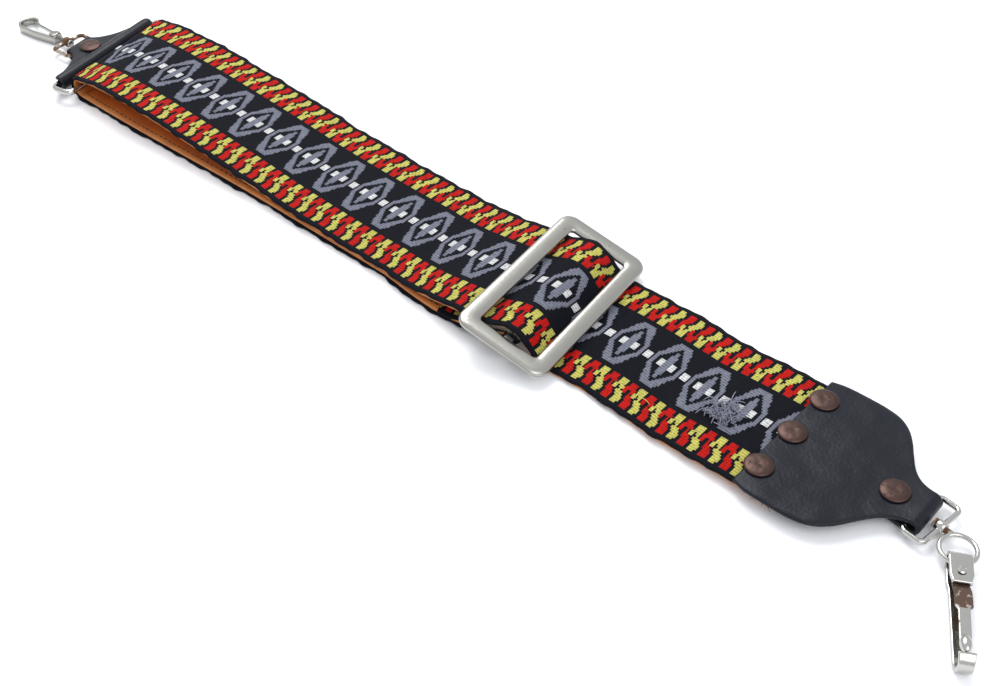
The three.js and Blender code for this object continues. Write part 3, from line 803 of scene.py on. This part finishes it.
NICKEL = worn_metal("nickel_plate", (0.42, 0.41, 0.375), (0.13, 0.06, 0.035), (420, 0.70), 0.30)
SHINY = worn_metal("bright_nickel", (0.55, 0.54, 0.51), (0.20, 0.11, 0.06), (300, 0.68), 0.16)
RUSTY = worn_metal("rusty_wire", (0.45, 0.42, 0.37), (0.13, 0.06, 0.028), (260, 0.44), 0.35)
RUSTED = worn_metal("rusted_leaf", (0.50, 0.48, 0.44), (0.085, 0.045, 0.028), (700, 0.36), 0.25)
RIVET_BROWN = worn_metal("brown_lacquer", (0.085, 0.052, 0.045), (0.035, 0.02, 0.016), (700, 0.60), 0.42)
LEATHER = leather_material()
DULL = plain("dull_steel", (0.35, 0.34, 0.32), 0.45, 1.0)


def finished(name, mesh, finish, body, nodes=()):
    """Makes a piece from a mesh in millimetres, and says its finish, what carries it and what it replaces.
    A piece with no body is left without a parent."""
    piece = mesh_object(name, on_table(mesh[0]), mesh[1])
    piece.data.materials.append(finish)
    if body:
        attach(piece, body)
    if nodes:
        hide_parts(*nodes)
    return piece


def placed(mesh, origin, degrees):
    """A mesh turned about the vertical and moved to its frame's origin: x' = x cos - y sin + ox."""
    c, s = math.cos(math.radians(degrees)), math.sin(math.radians(degrees))
    turned_points = mesh[0] @ np.array([[c, s, 0], [-s, c, 0], [0, 0, 1.0]])
    return turned_points + np.array(origin), mesh[1]


print("materials", [m.name for m in bpy.data.materials])

# %% [markdown]
# ## The slide
# The slide is a flat ring of drawn metal with a domed top. Every section point gets its own rounded
# rectangle round the opening, and the ring is then tipped along the strap and turned a little.

# %% Slide frame
SLIDE_HALF = (16.5, 32.5)
SLIDE_WALL = 5.9
SLIDE_THICK = 2.5
SLIDE_CORNER = 4.6
SLIDE_INNER_CORNER = 1.3
SLIDE_ASIDE = -0.6
DOME_POINTS = 28


def rounded_rectangle(half_x, half_y, corner, steps=10, straight=14):
    """A closed outline with the same number of points for any size, so that outlines can be joined."""
    runs = []
    for k, (sx, sy) in enumerate(((1, 1), (-1, 1), (-1, -1), (1, -1))):
        a = np.radians(np.linspace(90 * k, 90 * k + 90, steps))
        centre = [sx * (half_x - corner), sy * (half_y - corner)]
        runs.append(np.stack([centre[0] + corner * np.cos(a), centre[1] + corner * np.sin(a)], 1))
    pieces = []
    for k in range(4):
        pieces.append(runs[k])
        t = np.linspace(0, 1, straight + 2)[1:-1, None]
        pieces.append(runs[k][-1] * (1 - t) + runs[(k + 1) % 4][0] * t)
    return np.concatenate(pieces)


def slide_mesh():
    """The section is a squared circle: inward = w/2 (1 + sign(cos) |cos|^0.75), and
    height = h/2 sign(sin) |sin|^0.8."""
    rings = []
    for a in np.linspace(0, 2 * np.pi, DOME_POINTS, endpoint=False):
        c, s = math.cos(a), math.sin(a)
        inward = SLIDE_WALL / 2 * (1 + math.copysign(abs(c) ** 0.75, c))
        height = SLIDE_THICK / 2 * math.copysign(abs(s) ** 0.8, s)
        corner = max(SLIDE_CORNER - 0.55 * inward, SLIDE_INNER_CORNER)
        outline = rounded_rectangle(SLIDE_HALF[0] - inward, SLIDE_HALF[1] - inward, corner)
        rings.append(np.column_stack([outline, np.full(len(outline), height)]))
    points, quads = tube_mesh(np.array(rings), True)
    c, s = math.cos(SLIDE_PITCH), math.sin(SLIDE_PITCH)
    tipped = points @ np.array([[c, 0, -s], [0, 1, 0], [s, 0, c]])
    return placed((tipped, quads), (0, SLIDE_ASIDE, SLIDE_Z), math.degrees(SLIDE_YAW))


slide = finished("slide_ring", slide_mesh(), NICKEL, "slide", ["slide_frame"])
print("slide faces", len(slide.data.polygons))

# %% [markdown]
# ## Strips with a shaped width
# The leather tabs and the hook's springs are all strips: a line in side view, and a half width at each
# point of it. One function builds them, with the edges thinned so that they catch the light.

# %% Strip builder
ONE_SIDE = np.array([0.25, 0.5, 0.7, 0.85, 0.94, 0.985, 1])
ACROSS = np.concatenate([-ONE_SIDE[::-1], [0], ONE_SIDE])


def strip(line, half, thick, soften=0.45):
    """A strip: thickness falls to soften * thick at the two edges, on the last 6% of the half width."""
    normal = left_of(line)
    inset = np.clip((1 - np.abs(ACROSS)) / 0.06, 0, 1)
    body = soften + (1 - soften) * np.sqrt(inset * (2 - inset))
    lift = (thick / 2 * body)[None, :]
    y = np.asarray(half)[:, None] * ACROSS[None, :]
    sides = []
    for sign in (1, -1):
        x = line[:, :1] + normal[:, :1] * sign * lift
        z = line[:, 1:] + normal[:, 1:] * sign * lift
        sides.append(np.stack([x + 0 * y, y, z + 0 * y], -1))
    return slab(sides[0], sides[1])


def width_at(outline, x):
    """Half widths at given places, from a smooth line through [place, half width] points."""
    curve = smooth_line(outline, 0.25)
    order = np.argsort(curve[:, 0])
    return np.interp(x, curve[order, 0], curve[order, 1])


print("a strip has", len(ACROSS), "points across")

# %% [markdown]
# ## The leather tabs
# Each tab is one strip of leather. The near one lies over the band, turns round the loop's bar and comes
# back under itself. The far one is folded twice: round the loop's bar, and round the far ring.

# %% Near and far leather
LEATHER_THICK = 1.4
AXIS_HEIGHT = 2.9  # the middle of both loops, swivels and rings above the table
NEAR_NECK_HALF = 6.6
NEAR_OUTLINE = [
    [86, 25.8], [90, 26.8], [97, 27.1], [104, 26.9], [109, 25.9], [113, 23.4], [116, 20], [119, 15.4],
    [122, 11.2], [125, 8.6], [128.5, 7.2], [134.5, NEAR_NECK_HALF],
]
near_line = np.vstack([
    smooth_line([[86, 4.65], [110, 4.65], [117, 4.45], [124, 4.4], [130.6, 4.85]], 0.6)[:-1],
    arc(130.6, AXIS_HEIGHT, 1.95, 90, -90, 24),
    smooth_line([[130.6, 0.95], [127.5, 1.15], [124.5, 1.55], [121, 1.65], [113, 1.65]], 0.6)[1:],
])
on_top = np.arange(len(near_line)) <= np.argmax(near_line[:, 0])
near_half = np.where(on_top, width_at(NEAR_OUTLINE, near_line[:, 0]), NEAR_NECK_HALF)
near_leather = strip(near_line, near_half, LEATHER_THICK)
finished("near_leather", near_leather, LEATHER, "near_end", ["near_tab"])

FAR_ORIGIN, FAR_TURN = (-224, -2.5, 0), 192
FAR_NECK_HALF = 5.6
RING_HEIGHT = 4.75
FAR_OUTLINE = [
    [6.2, 26.2], [9, 26.6], [11.5, 25.2], [13, 21], [14.6, 15.5], [16.6, 11], [19, 8], [21.6, 6.2],
    [26, FAR_NECK_HALF],
]
bar_turn = arc(9.3, RING_HEIGHT, 2.25, 25, 270, 40)
far_line = np.vstack([
    arc(22.6, AXIS_HEIGHT, 1.85, -90, 90, 20)[:-1],
    smooth_line([[22.6, 4.75], [19.5, 4.9], [16.9, 4.95], [12.6, 4.95], bar_turn[0]], 0.5)[:-1],
    bar_turn[:-1],
    smooth_line([bar_turn[-1], [12.2, 3.1], [18.8, 3.25]], 0.5),
])
tongue_line = smooth_line([[12.8, 1.75], [19.2, 1.75], [21, 1.2], [22.6, 1.05]], 0.5)
far_main = strip(far_line, width_at(FAR_OUTLINE, far_line[:, 0]), LEATHER_THICK)
far_tongue = strip(tongue_line, np.full(len(tongue_line), FAR_NECK_HALF), LEATHER_THICK)
far_leather = placed(together(far_main, far_tongue), FAR_ORIGIN, FAR_TURN)
finished("far_leather", far_leather, LEATHER, "far_tab", ["far_tab"])
print("leather lines", len(near_line), len(far_line))

# %% [markdown]
# ## Rivets
# Each cap is a shallow dome with a rolled edge and a faint dimple, turned from a profile. The seat is the
# height of its underside, just clear of the leather.

# %% Rivet caps
CAP_RADIUS, CAP_HEIGHT = 4.4, 0.95
DENT_DEPTH = 0.05
ROW_X, ROW_Y, ROW_SEAT = 88.7, (17, 0, -17), 5.65


def cap_mesh(seat, seed):
    """Over the top z = seat + h (1 - 0.62 r^4 - 0.12 exp(-(r / 0.25)^2)), then round to the seat and in to
    the shank. Dents are -d sin(2.1 x) cos(1.7 y), shifted by the seed, where that is below zero."""
    r = np.linspace(0.02, 0.96, 14)
    dome = seat + CAP_HEIGHT * (1 - 0.62 * r ** 4 - 0.12 * np.exp(-(r / 0.25) ** 2))
    edge = [[CAP_RADIUS, seat + 0.22], [CAP_RADIUS, seat + 0.08], [CAP_RADIUS * 0.95, seat]]
    shank = [[1.0, seat], [0.9, seat - 1.6]]
    points, quads = turned(np.vstack([np.column_stack([r * CAP_RADIUS, dome]), edge, shank]), 44)
    dents = DENT_DEPTH * np.sin(points[:, 0] * 2.1 + seed) * np.cos(points[:, 1] * 1.7 + 2 * seed)
    points[:, 2] += np.minimum(dents, 0) * (points[:, 2] > seat + 0.3)
    return points, quads


for i, y in enumerate(ROW_Y):
    mesh = placed(cap_mesh(ROW_SEAT, i), (ROW_X, y, 0), 0)
    finished(f"near_cap_{i + 1}", mesh, RIVET_BROWN, "near_end", [f"near_rivet_{i + 1}_cap"])
neck = placed(cap_mesh(5.4, 5), (121.7, 0, 0), 0)
finished("near_neck_cap", neck, RIVET_BROWN, "near_end", ["near_neck_rivet_cap"])
far_cap = placed(placed(cap_mesh(5.95, 7), (16.9, 0, 0), 0), FAR_ORIGIN, FAR_TURN)
finished("far_cap", far_cap, RIVET_BROWN, "far_tab", ["far_rivet_cap"])
print("rivet caps made")

# %% [markdown]
# ## Loops, swivels and rings
# All are bent from round wire. A loop is a rounded rectangle with a short barrel, and a headed pin turns in
# the barrel. The long hook's pin ends in a ring, and the small hook's pin is part of the hook.

# %% Wire parts
BARREL_RADIUS, BARREL_HALF, BORE = 1.9, 1.3, 1.25
BARREL_SIDES = 32
RIM = 0.25
LOOP_CORNER = 1.6


def wire_outline(low, high, half, corner):
    """A closed rounded rectangle from x = low to x = high."""
    outline = rounded_rectangle((high - low) / 2, half, corner, 8, 8)
    return np.column_stack([outline[:, 0] + (low + high) / 2, outline[:, 1], 0 * outline[:, 0]])


def along_x(mesh, x):
    """A solid turned about Z, laid along X instead, and moved along it."""
    p = mesh[0]
    return np.column_stack([p[:, 2] + x, p[:, 0], p[:, 1]]), mesh[1]


def barrel(x):
    """A bored drum with rounded rims."""
    r, h, b = BARREL_RADIUS, BARREL_HALF, BORE
    section = np.array([[b, -h], [r - RIM, -h], [r, RIM - h], [r, h - RIM], [r - RIM, h], [b, h]])
    a = np.linspace(0, 2 * np.pi, BARREL_SIDES, endpoint=False)
    flat = np.stack([np.cos(a), np.sin(a)], 1)
    rings = np.stack([np.column_stack([flat * q[0], np.full(BARREL_SIDES, q[1])]) for q in section])
    points, quads = tube_mesh(rings, True)
    return along_x((points, quads), x)


def loop_mesh(half, length, radius):
    """The loop and its barrel, in the swivel's frame."""
    outline = wire_outline(0, length, half, LOOP_CORNER)
    return together(wire(outline, radius, 12, closed=True), barrel(length))


def pin_mesh(reach):
    """A pin with a round head inside the loop, from the barrel's middle to its reach."""
    head = [[0.9, -2.45], [1.5, -2.3], [1.5, -1.75], [1.3, -1.6], [0.9, -1.6], [0.9, reach]]
    return along_x(turned(head, 24), 0)


NEAR_SWIVEL, NEAR_TURN = (129.9, 0, AXIS_HEIGHT), -8
NEAR_LOOP_LENGTH = 6.9
EYE_RADIUS, EYE_ALONG, EYE_ASIDE = 5.0, 7.53, -2.86
near_loop = placed(loop_mesh(8.7, NEAR_LOOP_LENGTH, 0.85), NEAR_SWIVEL, NEAR_TURN)
finished("near_wire_loop", near_loop, SHINY, "near_loop", ["near_loop"])
round_eye = np.linspace(0, 2 * np.pi, 72, endpoint=False)
eye_path = np.column_stack([
    EYE_ALONG + EYE_RADIUS * np.cos(round_eye), EYE_ASIDE + EYE_RADIUS * np.sin(round_eye), 0 * round_eye,
])
eye_ring = wire(eye_path, 0.72, 12, closed=True)
eye = together(eye_ring, pin_mesh(EYE_ALONG - math.sqrt(EYE_RADIUS ** 2 - EYE_ASIDE ** 2)))
near_eye = placed((eye[0] + [NEAR_LOOP_LENGTH, 0, 0], eye[1]), NEAR_SWIVEL, NEAR_TURN)
eye_piece = finished("near_wire_eye", near_eye, SHINY, "near_eye", ["near_eye"])
eye_piece.data.materials.append(RUSTY)
on_pin = np.arange(len(eye_piece.data.polygons)) >= len(eye_ring[1])
eye_piece.data.polygons.foreach_set("material_index", on_pin.astype(np.int32))

FAR_SWIVEL, FAR_SWIVEL_TURN = (-245.421, -7.053, AXIS_HEIGHT), 184
far_loop = placed(loop_mesh(7.2, 9.4, 0.8), FAR_SWIVEL, FAR_SWIVEL_TURN)
finished("far_wire_loop", far_loop, RUSTY, "far_loop", ["far_loop"])
ring_path = wire_outline(0.6, 9.3, 29.6, 2.4) + [0, 0, RING_HEIGHT]
far_ring = placed(wire(ring_path, 1.2, 14, closed=True), FAR_ORIGIN, FAR_TURN)
finished("far_wire_ring", far_ring, SHINY, "far_ring", ["far_ring"])
print("wire parts made")

# %% [markdown]
# ## The long hook
# One strip is folded round the ring and bent up to a J. A sprung leaf lies over it and ends in a bright
# rounded nose. Rust has taken the middle of the leaf.

# %% Long hook
HOOK_ORIGIN, HOOK_TURN = (146.092, -8.824, 0), -60
RUSTED_FROM, RUSTED_TO = 6.5, 17.0
hook_line = np.vstack([
    smooth_line([[8.4, 5.25], [4.8, 5.2]], 0.4)[:-1], arc(0, AXIS_HEIGHT, 2.2, 90, 270, 28),
    smooth_line([[0, 0.7], [3.5, 0.8], [8, 0.65], [16, 0.65], [24, 0.65], [30.4, 0.65]], 0.5)[1:-1],
    arc(30.4, 3.9, 3.25, -90, 75, 28),
])
hook_half = np.interp(hook_line[:, 0], [-4, 5.8, 7.6, 20, 30, 34], [3.1, 3.1, 2.6, 2.4, 2.3, 1.9])
hook_body = placed(strip(hook_line, hook_half, 1.2, 0.5), HOOK_ORIGIN, HOOK_TURN)
finished("long_hook_body", hook_body, SHINY, "near_hook", ["near_hook_body"])

gate_line = smooth_line([[3.2, 3.8], [8.3, 3.85], [11.5, 5.4], [15, 5.9], [27.8, 5.95]], 0.4)
gate_half = np.interp(gate_line[:, 0], [3.2, 16.4, 17.4, 28], [2.3, 2.3, 1.5, 1.5])
leaf = strip(gate_line, gate_half, 0.7, 0.6)
ball_angle = np.linspace(0.06, np.pi - 0.06, 20)
ball = along_x(turned(np.column_stack([np.sin(ball_angle), -np.cos(ball_angle)]), 28), 0)
nose = ball[0] * [2.7, 1.6, 1.45] + [27.8, 0, 6.0], ball[1]


gate_own = together(leaf, nose)
gate = placed(gate_own, HOOK_ORIGIN, HOOK_TURN)
gate_piece = finished("long_hook_leaf", gate, SHINY, "near_gate", ["near_hook_gate"])
gate_piece.data.materials.append(RUSTED)
along_hook = np.array([gate_own[0][list(p.vertices), 0].mean() for p in gate_piece.data.polygons])
rusted = (along_hook > RUSTED_FROM) & (along_hook < RUSTED_TO)
gate_piece.data.polygons.foreach_set("material_index", rusted.astype(np.int32))
print("long hook: rusted faces", int(rusted.sum()))

# %% [markdown]
# ## The small hook
# The small hook lies on its side: a bow of strip, two ears with a cross pin, and a sprung leaf.

# %% Small hook
SMALL_ORIGIN, SMALL_TURN = (-261.881, -8.204, 0), 184
BODY_LOW, BODY_HIGH = 0.3, 3.7
LEAF_LOW, LEAF_HIGH = 1.2, 2.8
EAR_THICK = 0.6
PIN_REACH = 7.1


def upright(line, thick, low, high):
    """A strip bent in plan and standing on its edge: a slab between two offsets of its line."""
    normal = left_of(line)
    heights = low + (high - low) * np.array([0, 0.06, 0.5, 0.94, 1])
    inset = np.array([0.6, 1, 1, 1, 0.6])
    skins = []
    for sign in (1, -1):
        flat = line[:, None, :] + normal[:, None, :] * (sign * thick / 2 * inset)[None, :, None]
        z = np.broadcast_to(heights[None, :, None], (len(line), 5, 1))
        skins.append(np.concatenate([flat, z], 2))
    return slab(skins[0], skins[1])


def flat_plate(outline, low, high):
    """A thin plate of a rounded outline, as a fan of quads to its middle on both faces."""
    ring = smooth_line(outline + outline[:1], 0.35)[:-1]
    middle = ring.mean(0)
    levels = [(0.02, low), (0.92, low), (1, low + 0.1), (1, high - 0.1), (0.92, high), (0.02, high)]
    rings = [np.column_stack([middle + (ring - middle) * k, np.full(len(ring), z)]) for k, z in levels]
    return tube_mesh(np.array(rings), False)


bow_line = np.vstack([
    smooth_line([[0.3, 1.7], [4, 2.6], [10, 3.5], [17.4, 4.0]], 0.5)[:-1],
    arc(17.4, 0.1, 3.9, 90, -95, 36),
])
web_line = np.array([[0, -2.2], [0, 0], [0, 2.2]], float)
EAR = [[-0.2, -2.2], [2.2, -2.6], [3.3, -1.6], [3.3, 1.2], [1.5, 2.2], [-0.2, 2.2]]
pin = pin_mesh(PIN_REACH)
small_body = placed(together(
    upright(bow_line, 1.1, BODY_LOW, BODY_HIGH),
    upright(web_line, 1.2, BODY_LOW, BODY_HIGH),
    flat_plate(EAR, BODY_LOW, BODY_LOW + EAR_THICK),
    flat_plate(EAR, BODY_HIGH - EAR_THICK, BODY_HIGH),
    (pin[0] + [-PIN_REACH, 0, AXIS_HEIGHT], pin[1]),
), SMALL_ORIGIN, SMALL_TURN)
finished("small_hook_body", small_body, NICKEL, "far_hook", ["far_hook_body"])
leaf_line = smooth_line([[2.2, -1.9], [10, -2.2], [17.6, -2.55]], 0.6)
knuckle = turned([[1.0, LEAF_LOW], [1.1, LEAF_LOW + 0.1], [1.1, LEAF_HIGH - 0.1], [1.0, LEAF_HIGH]], 20)
small_gate = placed(together(
    upright(leaf_line, 0.6, LEAF_LOW, LEAF_HIGH),
    (knuckle[0] + [2.2, -1.5, 0], knuckle[1]),
), SMALL_ORIGIN, SMALL_TURN)
finished("small_hook_leaf", small_gate, SHINY, "far_gate", ["far_hook_gate"])
print("small hook made")

# %% [markdown]
# ## Frayed ends
# The band's front edge at the hump is fuzzy. A worn patch on one diamond has pulled up a tuft of grey
# threads, and a few loose threads stand out at the leather's edge and on the border.

# %% Loose threads
def loose_threads(count, seed, s, v, reach, radius, height, spread=1.0):
    """Thin wires from the cloth: each starts at a random place about (s, v), bows up by
    lift * sin(0.8 pi t) and runs off in a random direction."""
    rng = np.random.default_rng(seed)
    parts = []
    t = np.linspace(0, 1, 6)
    for _ in range(count):
        s0, v0 = s + rng.normal(0, spread), v + rng.normal(0, spread)
        away = rng.normal(0, reach, 2)
        lift = abs(rng.normal(height, height * 0.4))
        bow = WEAVE_HALF + lift * np.sin(0.8 * np.pi * t)
        path = cloth(s0 + away[0] * t, v0 + away[1] * t + 0.3 * np.sin(3 * t), -bow)
        parts.append(wire(path, radius * np.linspace(1, 0.6, 6), 5))
    return together(*parts)


GREY_YARN = plain("grey_yarn", YARN["G"], 0.85)
BLACK_YARN = plain("black_yarn", (0.012, 0.013, 0.018), 0.85)
FUZZ = plain("raw_edge_fuzz", (0.19, 0.16, 0.12), 0.95)
YELLOW_YARN = plain("yellow_yarn", YARN["Y"], 0.85)
TUFT_S, TUFT_V = 29.5, -5.0
FIBRES = 260
FIBRE_RADIUS = 0.06
tuft_mesh = loose_threads(170, 51, TUFT_S, TUFT_V, 1.9, 0.19, 1.3, 1.9)
tuft = finished("frayed_tuft", tuft_mesh, GREY_YARN, None)
print("tuft faces", len(tuft.data.polygons))


def edge_fuzz():
    """Short fibres along the band's front edge at the hump, standing out on the lining's side."""
    rng = np.random.default_rng(77)
    parts = []
    t = np.linspace(0, 1, 5)
    low, high = RUN["hump"]
    for _ in range(FIBRES):
        s0 = rng.uniform(low + 14, high - 26)
        away = rng.normal(0, 0.9)
        out = rng.uniform(0.0, 0.25)
        v = -(BAND_WIDTH / 2 - 0.5 + out * t)
        parts.append(wire(cloth(s0 + away * t, v, 0.5 + rng.uniform(0.3, 1.6) * t), FIBRE_RADIUS, 4))
    return together(*parts)


finished("raw_edge", edge_fuzz(), FUZZ, "slide")
black_threads = together(
    loose_threads(5, 61, 3, 25.0, 2.0, 0.09, 0.5),
    loose_threads(6, 62, 3, -25.0, 2.2, 0.09, 0.5),
)
finished("loose_black", black_threads, BLACK_YARN, "near_end")
yellow_threads = loose_threads(2, 63, 52, -19, 3.0, 0.1, 0.7)
yellow = finished("loose_yellow", yellow_threads, YELLOW_YARN, None)
print("threads made")

# %% [markdown]
# ## What carries each run of cloth
# The near run lies between the slide and the leather, and the two long runs between the slide and the
# far ring; these three are carried by nothing, their points baked in place. The hump stays on the slide and
# the fold on the ring.

# %% Bodies of the cloth
CARRIED = {"hump": "slide", "fold": "far_ring"}
ON_CLOTH = {
    "near": [tuft, yellow, stitched["near"]],
    "upper": [stitched["upper"]],
    "lower": [stitched["lower"]],
}


for name in RUN:
    for piece in (woven[name], vinyl[name], *ON_CLOTH.get(name, [])):
        if name in CARRIED:
            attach(piece, CARRIED[name])
        else:
            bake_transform(piece)

# %% Run lengths
print("sheets in mm", {name: round(stop - start, 1) for name, (start, stop) in RUN.items()})

# %% [markdown]
# ## CAD nodes that stay
# The hidden bar, the rivet backs, the long hook's rivet and the small hook's cross pin are right as they
# are. They get a finish.

# %% Finish for the CAD nodes
STAY = {"slide_bar": DULL, "near_hook_rivet": SHINY, "far_hook_pin": NICKEL}
for name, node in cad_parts.items():
    finish = STAY.get(name, RIVET_BROWN if name.endswith("_back") else None)
    if finish and not node.hide_render:
        node.data.materials.clear()
        node.data.materials.append(finish)
print("CAD nodes shown", [name for name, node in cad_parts.items() if not node.hide_render])
